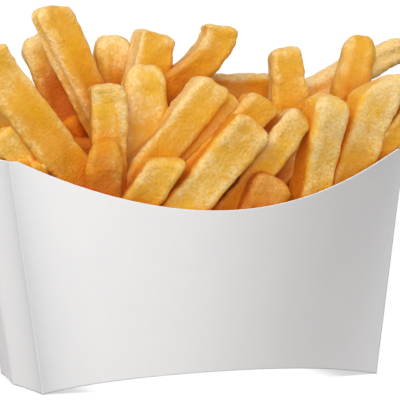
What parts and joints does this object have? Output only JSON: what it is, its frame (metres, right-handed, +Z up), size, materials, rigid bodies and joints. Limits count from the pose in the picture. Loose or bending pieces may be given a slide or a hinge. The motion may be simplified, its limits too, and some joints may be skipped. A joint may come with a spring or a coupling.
{
  "type": "french fries in a carton",
  "caption": "Heap of potato fries standing in a plain white paperboard scoop carton with a bowed, scooped front and creased side gussets.",
  "frame": {"origin": "under the middle of the whole, at the height of the table", "axes": "+Z up, the scooped front panel faces -Y, +X to its right"},
  "size_m": [0.1378, 0.0614, 0.1002],
  "materials": {
    "paperboard": "matte uncoated white board",
    "fried_potato": "crisp golden crust with a light sheen of oil"
  },
  "bodies": {
    "root": {"carton": "paperboard", "fries": "fried_potato"}
  },
  "joints": []
}
